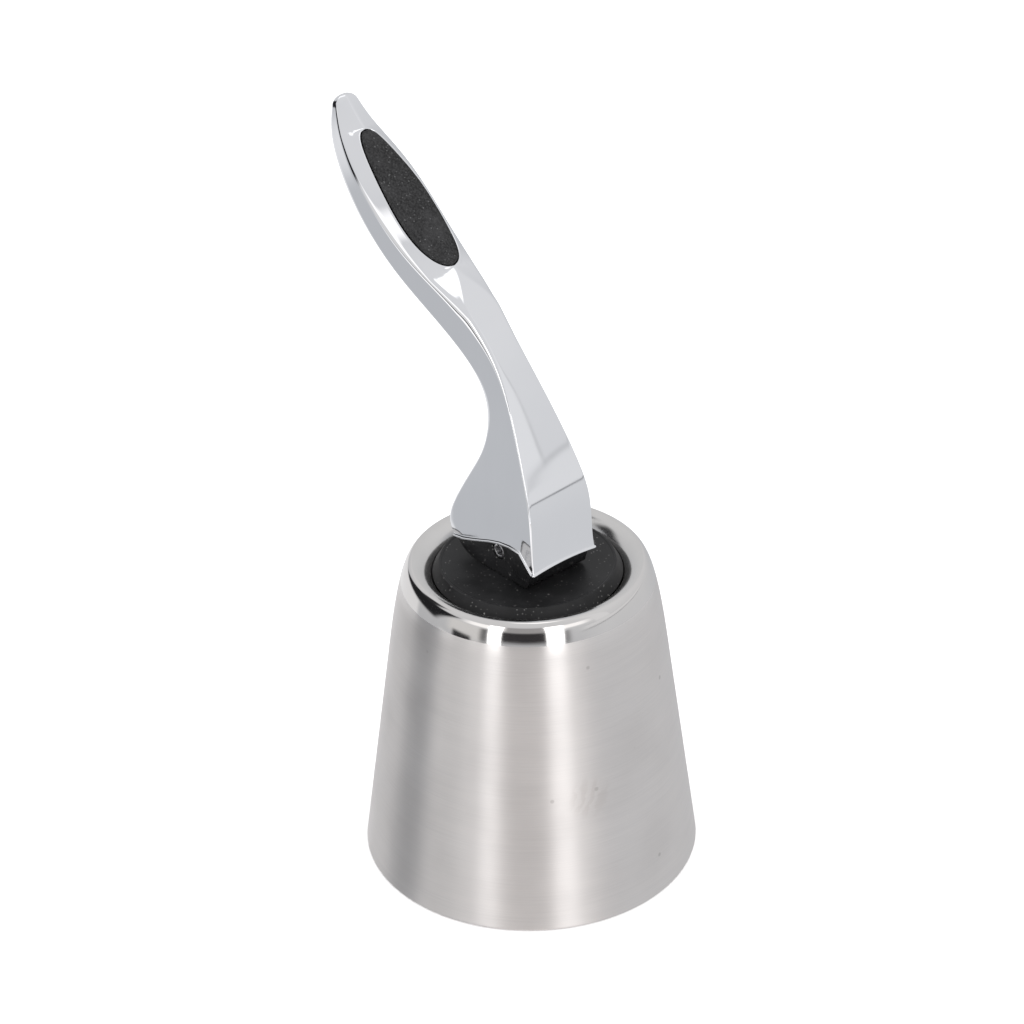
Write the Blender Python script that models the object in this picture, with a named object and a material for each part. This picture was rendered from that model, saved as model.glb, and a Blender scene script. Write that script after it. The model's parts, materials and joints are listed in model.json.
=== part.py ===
"""Lever bottle stopper. A steel bell stands over the neck of a bottle, and a rubber plug hangs inside it.

Turning the lever down towards -X rolls its cam block over the disc on top of the bell. That lifts the
pull rod, and the rod squeezes the plug against the core until it seals the bottle's bore.

Lengths below are in millimetres. The bell's axis is Z, and the bell's rim stands on z = 0.
"""

import math

import bmesh
import bpy
from mathutils import Vector
from mathutils.geometry import interpolate_bezier

MM = 0.001
GAP = 0.3
FINE = 56
COARSE = 32

# Bell cover
RIM_RADIUS = 22.5
WALL = 0.8
WALL_LEAN = 0.1316
SHOULDER_START = 31.5
CREST_RADIUS = 15.1
CREST_Z = 43.8

# Disc on top of the bell, and the lever's pivot above it
DISC_TOP = 43.6
DISC_RADIUS = 11.6
DISC_BOTTOM = 40.2
PIVOT_ABOVE_DISC = 3.5
PIVOT_Z = DISC_TOP + PIVOT_ABOVE_DISC
LEVER_TURN = math.radians(88)
ROD_LIFT = 6.8
LIFT_RATE = ROD_LIFT / LEVER_TURN

# Pull rod and its eye
ROD_RADIUS = 1.75
EYE_HALF_WIDTH = 2.6
EYE_HALF_DEPTH = 1.8
FLAT_START = 35.3
ROD_END = 1.65
PIN_RADIUS = 1.0
PIN_HALF_LENGTH = 4.95

# Stack on the rod, from the core down
CORE_TOP = DISC_BOTTOM - GAP
CORE_BOTTOM = 32.9
CORE_BORE = 4.6
BORE_TOP = 38.3
BUSH_BOTTOM = 35.3
BUSH_TOP = 37.1
GASKET_BOTTOM = 32.6
PLUG_RADIUS = 9.2
PLUG_TOP = 31.3
PLUG_BOTTOM = 6.5
WASHER_RADIUS = 8.8
CAP_RADIUS = 8.6
CAP_BOTTOM = 0.35
NUT_ACROSS_FLATS = 7.0
SCREW_CIRCLE = 7.3
SCREW_COUNT = 3

# Lever
CAM_HALF_DEPTH = 5.05
POCKET_HALF_DEPTH = 4.2
FORK_HALF_GAP = EYE_HALF_DEPTH + GAP
CAM_CLEARANCE = 0.2

# Stations from the lever's foot to its tip, measured from the pivot: the front edge's x and z,
# the back edge's x and z, half the width, and how far the front face bulges between its edges.
LEVER_STATIONS = (
    (7.00, -0.50, -8.35, -1.10, 5.30, 0.00),
    (6.80, 2.60, -9.45, 1.50, 5.25, 0.00),
    (6.35, 7.20, -7.30, 6.50, 5.05, 0.05),
    (4.60, 11.30, -5.20, 10.50, 4.60, 0.10),
    (2.60, 15.70, -3.90, 14.20, 3.90, 0.15),
    (-0.60, 21.40, -4.50, 18.60, 2.90, 0.20),
    (-4.80, 26.80, -7.90, 23.00, 2.52, 0.30),
    (-11.20, 31.80, -14.00, 27.80, 3.30, 0.75),
    (-18.20, 35.60, -20.30, 32.30, 4.20, 1.30),
    (-24.00, 40.00, -26.10, 37.20, 4.50, 1.55),
    (-28.50, 43.90, -30.70, 42.00, 4.00, 1.35),
    (-32.30, 47.50, -34.20, 46.30, 2.65, 0.85),
    (-34.20, 50.60, -35.25, 50.20, 1.50, 0.40),
)
STEPS_PER_STATION = 3
INLAY_FROM = 7.35
INLAY_TO = 10.75
INLAY_HALF_WIDTH = 3.1
INLAY_DEPTH = 1.0

# Colours
STEEL = (0.62, 0.60, 0.58, 1.0)
CHROME = (0.78, 0.79, 0.81, 1.0)
BLACK_PLASTIC = (0.022, 0.022, 0.023, 1.0)
BLACK_RUBBER = (0.016, 0.016, 0.017, 1.0)
WHITE_PLASTIC = (0.80, 0.79, 0.75, 1.0)


def clear_scene():
    for thing in list(bpy.data.objects):
        bpy.data.objects.remove(thing, do_unlink=True)


def material(name, colour, metallic, roughness):
    made = bpy.data.materials.new(name)
    made.use_nodes = True
    shader = made.node_tree.nodes["Principled BSDF"]
    shader.inputs["Base Color"].default_value = colour
    shader.inputs["Metallic"].default_value = metallic
    shader.inputs["Roughness"].default_value = roughness
    return made


def add_object(name, mesh, colour, frame, finish=(0.0, 0.5)):
    made = bpy.data.objects.new(name, mesh)
    bpy.context.scene.collection.objects.link(made)
    made.parent = frame
    mesh.materials.append(material(name, colour, *finish))
    mesh.shade_smooth()
    mesh.set_sharp_from_angle(angle=math.radians(35))
    return made


def helper(name, mesh, frame):
    made = bpy.data.objects.new(name, mesh)
    bpy.context.scene.collection.objects.link(made)
    made.parent = frame
    made.hide_render = True
    made.display_type = "WIRE"
    return made


def empty(name, z, parent=None):
    made = bpy.data.objects.new(name, None)
    bpy.context.scene.collection.objects.link(made)
    made.location.z = z * MM
    made.parent = parent
    return made


def combine(target, other, operation="DIFFERENCE"):
    step = target.modifiers.new(other.name, "BOOLEAN")
    step.object = other
    step.operation = operation
    step.solver = "EXACT"


def finished(build, name):
    bmesh.ops.remove_doubles(build, verts=build.verts, dist=1e-7)
    bmesh.ops.recalc_face_normals(build, faces=build.faces)
    mesh = bpy.data.meshes.new(name)
    build.to_mesh(mesh)
    build.free()
    return mesh


def turned(name, profile, steps=COARSE):
    """A closed profile of (radius, z) points, turned about Z."""
    build = bmesh.new()
    points = [build.verts.new((r * MM, 0, z * MM)) for r, z in profile]
    ring = points[1:] + points[:1]
    edges = [build.edges.new(pair) for pair in zip(points, ring) if max(pair[0].co.x, pair[1].co.x) > 0]
    bmesh.ops.spin(
        build, geom=points + edges, axis=(0, 0, 1), cent=(0, 0, 0), angle=math.tau, steps=steps, use_merge=True
    )
    return finished(build, name)


def prism(name, outline, half_depth, middle=0.0):
    """An outline of (x, z) points, extruded along Y to both sides."""
    build = bmesh.new()
    points = [build.verts.new((x * MM, (middle - half_depth) * MM, z * MM)) for x, z in outline]
    face = build.faces.new(points)
    grown = bmesh.ops.extrude_face_region(build, geom=[face])
    moved = [item for item in grown["geom"] if isinstance(item, bmesh.types.BMVert)]
    bmesh.ops.translate(build, verts=moved, vec=(0, 2 * half_depth * MM, 0))
    return finished(build, name)


def cylinder(name, radius, length, centre, axis="Z", steps=32):
    build = bmesh.new()
    bmesh.ops.create_cone(
        build, cap_ends=True, segments=steps, radius1=radius * MM, radius2=radius * MM, depth=length * MM
    )
    if axis == "Y":
        bmesh.ops.rotate(build, verts=build.verts, matrix=Vector((0, 0, 1)).rotation_difference(
            Vector((0, 1, 0))).to_matrix())
    bmesh.ops.translate(build, verts=build.verts, vec=Vector(centre) * MM)
    return finished(build, name)


def arc(centre_x, centre_z, radius, start, end, count):
    """Points on an arc, with its angles in degrees from +X towards +Z."""
    angles = [math.radians(start + (end - start) * i / (count - 1)) for i in range(count)]
    return [(centre_x + radius * math.cos(a), centre_z + radius * math.sin(a)) for a in angles]


def bezier(points, count):
    corners = [Vector(point) for point in points]
    return [tuple(point) for point in interpolate_bezier(*corners, count)]


def along(rows, place):
    """The row at a fractional place between the rows, on a smooth curve through all of them."""
    index = min(int(place), len(rows) - 2)
    t = place - index
    before = rows[max(index - 1, 0)]
    start = rows[index]
    end = rows[index + 1]
    after = rows[min(index + 2, len(rows) - 1)]
    return [
        0.5 * (2 * b + (c - a) * t + (2 * a - 5 * b + 4 * c - d) * t**2 + (3 * b - a - 3 * c + d) * t**3)
        for a, b, c, d in zip(before, start, end, after)
    ]


def bell_skin(inset):
    """The bell's outer skin from the lip's inner edge to the rim, moved inwards by inset."""
    shoulder_radius = RIM_RADIUS - WALL_LEAN * SHOULDER_START
    lip = bezier(((11.7, 40.9), (12.4, 42.0), (13.6, CREST_Z), (CREST_RADIUS, CREST_Z)), 6)
    rise = 5.8
    shoulder = bezier(
        (
            (CREST_RADIUS, CREST_Z),
            (CREST_RADIUS + 1.4, CREST_Z),
            (shoulder_radius - WALL_LEAN * rise, SHOULDER_START + rise),
            (shoulder_radius, SHOULDER_START),
        ),
        8,
    )
    points = [Vector(point) for point in lip + shoulder[1:] + [(RIM_RADIUS, 0.0)]]
    moved = []
    for i, point in enumerate(points):
        run = points[min(i + 1, len(points) - 1)] - points[max(i - 1, 0)]
        inwards = Vector((run.y, -run.x)).normalized()
        moved.append(tuple(point + inwards * inset))
    return moved


def bell_cover(frame):
    outer = bell_skin(0)[:-1]
    inner = bell_skin(WALL)[:-1]
    rim = [(RIM_RADIUS - 0.05, 0.25), (RIM_RADIUS - 0.25, 0.0), (RIM_RADIUS - 0.65, 0.0), (RIM_RADIUS - 0.84, 0.2)]
    mesh = turned("bell_cover", outer + rim + inner[::-1], FINE)
    add_object("bell_cover", mesh, STEEL, frame, (1.0, 0.32))


def screw_places():
    for i in range(SCREW_COUNT):
        angle = math.tau * (i + 0.5) / SCREW_COUNT
        yield SCREW_CIRCLE * math.cos(angle), SCREW_CIRCLE * math.sin(angle)


def rod_slot(name, bottom, top, frame):
    half_x = EYE_HALF_WIDTH + GAP
    outline = [(-half_x, bottom), (half_x, bottom), (half_x, top), (-half_x, top)]
    return helper(name, prism(name, outline, EYE_HALF_DEPTH + GAP), frame)


def cam_disc(frame):
    profile = [
        (0, DISC_TOP),
        (DISC_RADIUS - 0.25, DISC_TOP),
        (DISC_RADIUS, DISC_TOP - 0.15),
        (12.35, 42.35),
        (12.25, 42.2),
        (11.35, 41.0),
        (11.35, DISC_BOTTOM),
        (0, DISC_BOTTOM),
    ]
    disc = add_object("cam_disc", turned("cam_disc", profile, FINE), BLACK_PLASTIC, frame)
    combine(disc, rod_slot("disc_slot", DISC_BOTTOM - 1, DISC_TOP + 1, frame))
    for i, (x, y) in enumerate(screw_places(), 1):
        hole = cylinder(f"pilot_{i}", 1.25, 5.2, (x, y, DISC_BOTTOM), steps=16)
        combine(disc, helper(f"pilot_{i}", hole, frame))


def core_body(frame):
    nested = [point for point in bell_skin(WALL + GAP) if point[0] > 12.9 and point[1] > 34.0]
    profile = [
        (0, CORE_TOP),
        (12.6, CORE_TOP),
        *nested,
        (17.0, 34.0),
        (16.6, 34.0),
        (16.6, 34.9),
        (10.8, 34.9),
        (10.8, CORE_BOTTOM),
        (CORE_BORE, CORE_BOTTOM),
        (CORE_BORE, BORE_TOP),
        (0, BORE_TOP),
    ]
    core = add_object("core_body", turned("core_body", profile, FINE), BLACK_PLASTIC, frame)
    combine(core, rod_slot("core_slot", BORE_TOP - 1, CORE_TOP + 1, frame))
    for i, (x, y) in enumerate(screw_places(), 1):
        through = cylinder(f"clearance_{i}", 1.25, 12, (x, y, 38), steps=16)
        combine(core, helper(f"clearance_{i}", through, frame))
        recess = cylinder(f"recess_{i}", 2.05, 5.2, (x, y, CORE_BOTTOM), steps=24)
        combine(core, helper(f"recess_{i}", recess, frame))


def core_screws(frame):
    for i, (x, y) in enumerate(screw_places(), 1):
        profile = [(0, 42.4), (0.95, 42.0), (0.95, 35.2), (1.75, 35.2), (1.75, 33.8), (1.5, 33.5), (0, 33.5)]
        name = f"core_screw_{i}"
        screw = add_object(name, turned(name, profile, 16), STEEL, frame, (1.0, 0.35))
        screw.location = (x * MM, y * MM, 0)
        socket = [(0.75 * math.cos(math.tau * k / 6), 0.75 * math.sin(math.tau * k / 6)) for k in range(6)]
        build = bmesh.new()
        face = build.faces.new([build.verts.new((a * MM, b * MM, 33.0 * MM)) for a, b in socket])
        grown = bmesh.ops.extrude_face_region(build, geom=[face])
        moved = [item for item in grown["geom"] if isinstance(item, bmesh.types.BMVert)]
        bmesh.ops.translate(build, verts=moved, vec=(0, 0, 1.3 * MM))
        key = helper(f"socket_{i}", finished(build, f"socket_{i}"), frame)
        key.location = screw.location
        combine(screw, key)


def ring(name, inner, outer, bottom, top, colour, frame, finish=(0.0, 0.5), edge=0.15):
    """A flat ring with its four edges eased."""
    profile = [
        (inner + edge, top),
        (outer - edge, top),
        (outer, top - edge),
        (outer, bottom + edge),
        (outer - edge, bottom),
        (inner + edge, bottom),
        (inner, bottom + edge),
        (inner, top - edge),
    ]
    return add_object(name, turned(name, profile), colour, frame, finish)


def plug(frame):
    """Three shallow waists keep the rubber from gripping the bore before the lever is turned."""
    lobes = 3
    height = (PLUG_TOP - PLUG_BOTTOM) / lobes
    side = []
    for i in range(lobes):
        top = PLUG_TOP - height * i
        side += [(PLUG_RADIUS - 0.6, top - 0.15), (PLUG_RADIUS, top - 1.2), (PLUG_RADIUS, top - height + 1.2)]
    profile = [(2.4, PLUG_TOP), (PLUG_RADIUS - 0.9, PLUG_TOP)] + side
    profile += [(PLUG_RADIUS - 0.9, PLUG_BOTTOM), (2.4, PLUG_BOTTOM)]
    add_object("plug", turned("plug", profile), BLACK_RUBBER, frame, (0.0, 0.7))


def guide_bush(frame):
    """Its keyed hole passes the rod's flats and stops the rod from turning."""
    bush = ring("guide_bush", 2.0, CORE_BORE - GAP, BUSH_BOTTOM, BUSH_TOP, WHITE_PLASTIC, frame)
    combine(bush, rod_slot("bush_slot", BUSH_BOTTOM - 1, BUSH_TOP + 1, frame))


def rod_o_ring(frame):
    section = arc(3.2, 34.0, 1.1, 90, -225, 8)
    add_object("rod_o_ring", turned("rod_o_ring", section), BLACK_RUBBER, frame, (0.0, 0.45))


def pull_rod(frame):
    shank_top = FLAT_START + 1
    profile = [(0, shank_top), (ROD_RADIUS, shank_top), (ROD_RADIUS, ROD_END + 0.4)]
    profile += [(ROD_RADIUS - 0.4, ROD_END), (0, ROD_END)]
    shank = helper("rod_shank", turned("rod_shank", profile, 32), frame)
    eye_top = arc(0, PIVOT_Z, EYE_HALF_WIDTH, 0, 180, 13)
    outline = [(EYE_HALF_WIDTH, FLAT_START)] + eye_top + [(-EYE_HALF_WIDTH, FLAT_START)]
    rod = add_object("pull_rod", prism("pull_rod", outline, EYE_HALF_DEPTH), STEEL, frame, (1.0, 0.3))
    combine(rod, shank, "UNION")
    bore = cylinder("eye_bore", PIN_RADIUS + 0.12, 8, (0, 0, PIVOT_Z), "Y")
    combine(rod, helper("eye_bore", bore, frame))


def lock_nut(frame):
    radius = NUT_ACROSS_FLATS / math.sqrt(3)
    bottom = 1.75
    nut = cylinder("lock_nut", radius, 2.15, (0, 0, bottom + 1.075), steps=6)
    made = add_object("lock_nut", nut, STEEL, frame, (1.0, 0.35))
    combine(made, helper("nut_bore", cylinder("nut_bore", ROD_RADIUS + 0.15, 4, (0, 0, 3)), frame))


def lock_washer(frame):
    made = ring("lock_washer", 2.0, 3.6, 4.15, 4.75, STEEL, frame, (1.0, 0.35), 0.1)
    split = [(1.0, 3.5), (4.5, 3.8), (4.5, 5.2), (1.0, 5.2)]
    combine(made, helper("washer_split", prism("washer_split", split, 0.3), frame))


def end_cap(frame):
    profile = [(CAP_RADIUS, 4.7)] + arc(CAP_RADIUS - 2.2, CAP_BOTTOM + 2.2, 2.2, 0, -90, 6)
    profile += [(0, CAP_BOTTOM), (0, 1.3), (4.6, 1.3), (4.6, 4.7)]
    add_object("end_cap", turned("end_cap", profile), BLACK_PLASTIC, frame)


def cam_edge():
    """The cam's rolling edge. Its height under the pivot grows evenly as the lever turns."""
    points = []
    for degrees in range(0, 49, 8):
        turn = math.radians(degrees)
        height = PIVOT_ABOVE_DISC - CAM_CLEARANCE + LIFT_RATE * turn
        down = Vector((-math.sin(turn), -math.cos(turn)))
        side = Vector((-math.cos(turn), math.sin(turn)))
        points.append(tuple(down * height + side * LIFT_RATE))
    return points


def cam_block(frame):
    bottom = CAM_CLEARANCE - PIVOT_ABOVE_DISC
    front = [(6.25, -0.85), (5.55, bottom + 0.3), (5.2, bottom)]
    skirt = [(-7.2, -1.4), (-6.2, -1.1), (-2.2, 0.3), (0, 1.08), (1.8, 1.5), (3.6, 1.7), (4.9, 1.6)]
    skirt += [(5.3, 1.1), (5.45, -0.85)]
    inside = [(-7.4, -1.36), (-7.4, 2.1), (-5.7, 6.2), (4.9, 6.2), (5.4, 2.4), (5.5, -0.6)]
    lower = helper("cam_lower", prism("cam_lower", front + cam_edge() + skirt, CAM_HALF_DEPTH), frame)
    upper = prism("cam_block", front[1:] + cam_edge() + inside, POCKET_HALF_DEPTH - GAP)
    block = add_object("cam_block", upper, BLACK_PLASTIC, frame)
    combine(block, lower, "UNION")
    room = EYE_HALF_WIDTH + GAP
    sweep = [(room, -6)] + arc(0, 0, room, 0, 90, 7) + [(-10, room), (-10, -6)]
    combine(block, helper("fork_slot", prism("fork_slot", sweep, FORK_HALF_GAP), frame))
    bore = cylinder("cam_bore", PIN_RADIUS + 0.12, 14, (0, 0, 0), "Y")
    combine(block, helper("cam_bore", bore, frame))


def lever_section(place):
    """One ring of the lever's skin: its back edge, two flat sides and a bulging front face."""
    front_x, front_z, back_x, back_z, half_width, bulge = along(LEVER_STATIONS, place)
    back = Vector((back_x, 0, back_z))
    front = Vector((front_x, 0, front_z))
    outwards = (front - back).normalized()
    ease = min(0.35, 0.2 * half_width)
    points = [back + Vector((0, -half_width + ease, 0)), back + outwards * ease + Vector((0, -half_width, 0))]
    count = 8
    for i in range(count + 1):
        angle = math.pi * i / count
        across = -math.cos(angle) * half_width
        points.append(front + outwards * (bulge * math.sin(angle) - ease * 0.5) + Vector((0, across, 0)))
    points += [back + outwards * ease + Vector((0, half_width, 0)), back + Vector((0, half_width - ease, 0))]
    return points


def bridge_rings(build, rings):
    """Closed skin over rings of equal length, with both ends capped."""
    loops = [[build.verts.new(point * MM) for point in ring] for ring in rings]
    for lower, upper in zip(loops, loops[1:]):
        for i, corner in enumerate(lower):
            after = (i + 1) % len(lower)
            build.faces.new((corner, lower[after], upper[after], upper[i]))
    build.faces.new(loops[0][::-1])
    build.faces.new(loops[-1])


def inlay_solid(name, margin, floor, lift):
    """The leaf-shaped inlay: its top follows the lever's bulging face, and its floor lies below it."""
    build = bmesh.new()
    rings = []
    count = 14
    across = 6
    for step in range(count + 1):
        share = step / count
        place = INLAY_FROM + (INLAY_TO - INLAY_FROM) * share
        front_x, front_z, back_x, back_z, half_width, bulge = along(LEVER_STATIONS, place)
        front = Vector((front_x, 0, front_z))
        outwards = (front - Vector((back_x, 0, back_z))).normalized()
        leaf = INLAY_HALF_WIDTH * math.sin(math.pi * (0.06 + 0.88 * share)) ** 0.7
        half = max(leaf - margin, 0.25)
        top = []
        for i in range(across + 1):
            y = half * (2 * i / across - 1)
            height = bulge * math.sqrt(max(1 - (y / half_width) ** 2, 0)) + lift
            top.append(front + outwards * height + Vector((0, y, 0)))
        low = bulge - floor
        base = [front + outwards * low + Vector((0, y, 0)) for y in (half, -half)]
        rings.append(top + base)
    bridge_rings(build, rings)
    return finished(build, name)


def lever_shell(frame):
    build = bmesh.new()
    last = len(LEVER_STATIONS) - 1
    count = last * STEPS_PER_STATION
    rings = [lever_section(last * i / count) for i in range(count + 1)]
    tip = rings[-1]
    centre = sum(tip, Vector()) / len(tip)
    run = (centre - sum(rings[-2], Vector()) / len(tip)).normalized()
    rings.append([centre + (point - centre) * 0.45 + run * 0.9 for point in tip])
    bridge_rings(build, rings)
    shell = add_object("lever_shell", finished(build, "lever_shell"), CHROME, frame, (1.0, 0.06))
    pocket = [(-7.7, -2), (-7.7, 2.2), (-5.9, 6.5), (5.2, 6.5), (5.7, 2.5), (5.8, -2)]
    arch = [(-6.9, -2), (-6.9, -0.95), (-6.1, -0.75), (-2.2, 0.6), (0, 1.38), (1.8, 1.8), (3.6, 2.0)]
    arch += [(5.0, 1.9), (5.6, 1.3), (5.75, -2)]
    slot_top = EYE_HALF_WIDTH + GAP
    slot = [(-12, -2), (-5, -2), (-5, slot_top), (-12, slot_top)]
    combine(shell, helper("pocket", prism("pocket", pocket, POCKET_HALF_DEPTH), frame))
    combine(shell, helper("skirt_arch", prism("skirt_arch", arch, 9), frame))
    combine(shell, helper("foot_slot", prism("foot_slot", slot, FORK_HALF_GAP), frame))
    combine(shell, helper("inlay_recess", inlay_solid("inlay_recess", 0, INLAY_DEPTH + GAP, 1.5), frame))


def grip_inlay(frame):
    mesh = inlay_solid("grip_inlay", GAP, INLAY_DEPTH, -0.05)
    add_object("grip_inlay", mesh, BLACK_RUBBER, frame, (0.0, 0.85))


def pivot_pin(frame):
    """A rolled spring pin: a tube with a slit along it."""
    slit = math.degrees(0.2)
    outer = arc(0, 0, PIN_RADIUS, 90 + slit, 450 - slit, 25)
    inner = arc(0, 0, PIN_RADIUS - 0.38, 450 - slit, 90 + slit, 25)
    mesh = prism("pivot_pin", outer + inner, PIN_HALF_LENGTH)
    add_object("pivot_pin", mesh, STEEL, frame, (1.0, 0.2))


def main():
    clear_scene()
    bell = empty("bell_frame", 0)
    rod = empty("rod_frame", 0, bell)
    lever = empty("lever_frame", PIVOT_Z, rod)

    bell_cover(bell)
    cam_disc(bell)
    core_body(bell)
    core_screws(bell)
    ring("lip_gasket", 11.1, 16.3, GASKET_BOTTOM, 34.6, BLACK_RUBBER, bell, (0.0, 0.7), 0.3)
    guide_bush(bell)
    rod_o_ring(bell)
    ring("upper_washer", 2.5, WASHER_RADIUS, PLUG_TOP + GAP, GASKET_BOTTOM, STEEL, bell, (1.0, 0.3))
    plug(bell)

    pull_rod(rod)
    ring("lower_washer", 2.5, WASHER_RADIUS, 5.0, PLUG_BOTTOM - GAP, STEEL, rod, (1.0, 0.3))
    lock_washer(rod)
    lock_nut(rod)
    end_cap(rod)

    lever_shell(lever)
    cam_block(lever)
    grip_inlay(lever)
    pivot_pin(lever)


main()
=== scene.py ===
"""The looks of the lever bottle stopper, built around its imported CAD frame.

Lengths in this file are millimetres, in the frame's axes, until mesh_from turns them into metres.
The lever's own shapes are measured from its pivot.
"""

import json
import math

import bmesh
import bpy
import numpy as np
from mathutils import Matrix, Vector, noise
from mathutils.geometry import interpolate_bezier


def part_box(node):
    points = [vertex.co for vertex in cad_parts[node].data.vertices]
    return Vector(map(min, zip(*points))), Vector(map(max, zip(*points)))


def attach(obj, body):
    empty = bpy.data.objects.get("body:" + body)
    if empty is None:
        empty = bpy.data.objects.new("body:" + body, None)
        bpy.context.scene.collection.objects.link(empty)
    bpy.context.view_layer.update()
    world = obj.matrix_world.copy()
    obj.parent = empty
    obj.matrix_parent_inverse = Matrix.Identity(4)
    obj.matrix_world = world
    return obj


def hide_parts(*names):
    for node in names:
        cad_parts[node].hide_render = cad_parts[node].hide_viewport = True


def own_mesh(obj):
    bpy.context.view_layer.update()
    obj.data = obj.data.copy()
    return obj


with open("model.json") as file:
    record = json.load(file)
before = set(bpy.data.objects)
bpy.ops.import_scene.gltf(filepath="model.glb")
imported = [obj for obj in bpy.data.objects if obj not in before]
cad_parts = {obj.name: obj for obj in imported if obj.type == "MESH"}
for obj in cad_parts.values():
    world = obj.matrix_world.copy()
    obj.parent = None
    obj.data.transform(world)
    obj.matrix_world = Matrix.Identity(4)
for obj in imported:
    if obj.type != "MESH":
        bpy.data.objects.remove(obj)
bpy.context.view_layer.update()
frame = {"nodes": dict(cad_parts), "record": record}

MM = 0.001
SMOOTH_ANGLE = math.radians(32)
BEVEL_ANGLE = math.radians(35)
SAME_POINT = 2e-7


def extent(node):
    """Lowest and highest corners of a CAD node, in millimetres."""
    low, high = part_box(node)
    return Vector(low) / MM, Vector(high) / MM


def joint(name):
    return next(row for row in frame["record"]["behaviour"]["joints"] if row["name"] == name)


# Places read from the frame
CREST_Z = extent("bell_cover")[1].z
DISC_TOP = extent("cam_disc")[1].z
PIVOT = Vector(joint("lever_pivot")["pos_m"]) / MM
PLUG_TOP = extent("plug")[1].z
PLUG_BOTTOM = extent("plug")[0].z
ROD_LIFT = joint("rod_slide")["range_m"][1] / MM

# Bell
RIM_RADIUS = 22.5
WALL = 0.8
WALL_LEAN = 0.1316
SHOULDER_START = 31.5
SHOULDER_RADIUS = RIM_RADIUS - WALL_LEAN * SHOULDER_START
CREST_RADIUS = 15.1
BRUSHED_TOP = 41.03
BELL_STEPS = 224
SMUDGE = Vector((18.7, -6.4, 18.8))

# Lever, from foot to tip: the front edge's x and z, the back edge's x and z, half the width, the bulge
# of the front face and the size of the front edge's rounding.
LEVER_STATIONS = (
    (7.0, -0.5, -8.35, -1.1, 5.3, 0.0, 0.2),
    (6.8, 2.6, -9.45, 1.5, 5.28, 0.0, 0.2),
    (6.25, 7.2, -7.3, 6.5, 5.15, 0.0, 0.2),
    (4.72, 11.3, -5.2, 10.5, 4.7, 0.0, 0.2),
    (2.62, 15.7, -3.9, 14.2, 4.0, 0.0, 0.22),
    (-0.6, 21.4, -4.5, 18.6, 3.02, 0.02, 0.28),
    (-4.8, 26.8, -7.9, 23.0, 2.65, 0.12, 0.6),
    (-11.2, 31.8, -14.0, 27.8, 3.45, 0.8, 0.75),
    (-18.2, 35.6, -20.3, 32.3, 4.35, 1.5, 0.45),
    (-24.0, 40.0, -26.1, 37.2, 4.62, 1.85, 0.35),
    (-28.5, 43.9, -30.75, 42.0, 4.12, 1.65, 0.35),
    (-32.3, 47.5, -34.35, 46.3, 2.85, 1.25, 0.3),
    (-34.2, 50.4, -35.35, 50.0, 1.8, 0.55, 0.25),
)
LAST_STATION = len(LEVER_STATIONS) - 1
BACK_ROUNDING = 0.4
SIDE_LEAN = 0.25
LEAN_FROM = 2.0
LEAN_TO = 12.0
TIP_RADIUS = 1.58
TIP_START = math.radians(17.7)
PIN_RADIUS = 1.0
PIN_WALL = 0.36
PIN_REACH = 4.92
CAM_HALF_DEPTH = 5.05
CAM_DROP = PIVOT.z - DISC_TOP - 0.2

# Room for the rod's eye, which is flat and passes through the disc, the cam insert and the foot's back
EYE_ROOM = 2.9
EYE_HALF_ROOM = 2.1

# Skirt of the lever's foot: x and z along its lower edge, from the heel to the toe
SKIRT = (
    (-8.6, -0.95), (-7.6, -0.95), (-6.3, -0.65), (-2.3, 0.78), (-0.3, 1.53), (1.66, 1.95),
    (3.6, 2.14), (4.8, 2.02), (5.75, 1.57), (6.45, 0.5), (7.03, -0.35),
)
TOE_LIFT = 0.45
BEAD_HOLLOW = 0.25
BEAD_TILT = math.radians(72)
BEAD_RADIUS = 0.1
APRON_SPREAD = 0.15
APRON_HEIGHT = 2.5
FOOT_WALL = 1.1
WALL_FOOT = 0.35
POCKET_ROOF = 6.4

# Inlay
LEAF_FROM = 7.42
LEAF_TO = 10.88
LEAF_HALF = 3.42
LEAF_SKEW = 0.62
LEAF_SHARPNESS = (0.80, 0.42)
RECESS_DEPTH = 0.9
RECESS_LIP = 0.16
NECK_FROM = 6.5
FLANK_ROUNDING = 0.3
CROWN = 0.11
PAD_GAP = 0.08
PAD_SINK = 0.08
PAD_ROLL = 0.3
PAD_CROWN = 0.03
PAD_REACH = 0.88
PAD_GRAIN = 0.035
PAD_RINGS = 20
SPINE_START = 0.42
SPINE_END = 0.30

# Mesh of the lever: steps round half of a ring, places of its rows, and the loops between the edge of
# the patch round the inlay (1) and the leaf (0)
BACK_STEPS = 3
BACK_CORNER_STEPS = 4
SIDE_STEPS = 8
EDGE_STEPS = 8
FACE_STEPS = 14
FRONT_MIDDLE = BACK_STEPS + BACK_CORNER_STEPS + SIDE_STEPS + EDGE_STEPS + FACE_STEPS
EDGE_END = FRONT_MIDDLE - FACE_STEPS
COLUMNS = 2 * FRONT_MIDDLE
ROW_SPACING = 0.36
FOOT_TOP = 2.2
FOOT_ROWS = 34
PATCH_BLEND = (0.78, 0.55, 0.34, 0.18, 0.07, 0.0)

# Studio
VIEW_AZIMUTH = math.radians(49)
VIEW_ELEVATION = math.radians(31.29)
VIEW_ROLL = math.radians(-0.97)
VIEW_DISTANCE = 450.0
VIEW_TARGET = Vector((-1.27, -1.46, 50.97))
LENS = 122.3
FLOOR_REACH = 6000
DOME_REACH = 3000

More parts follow.
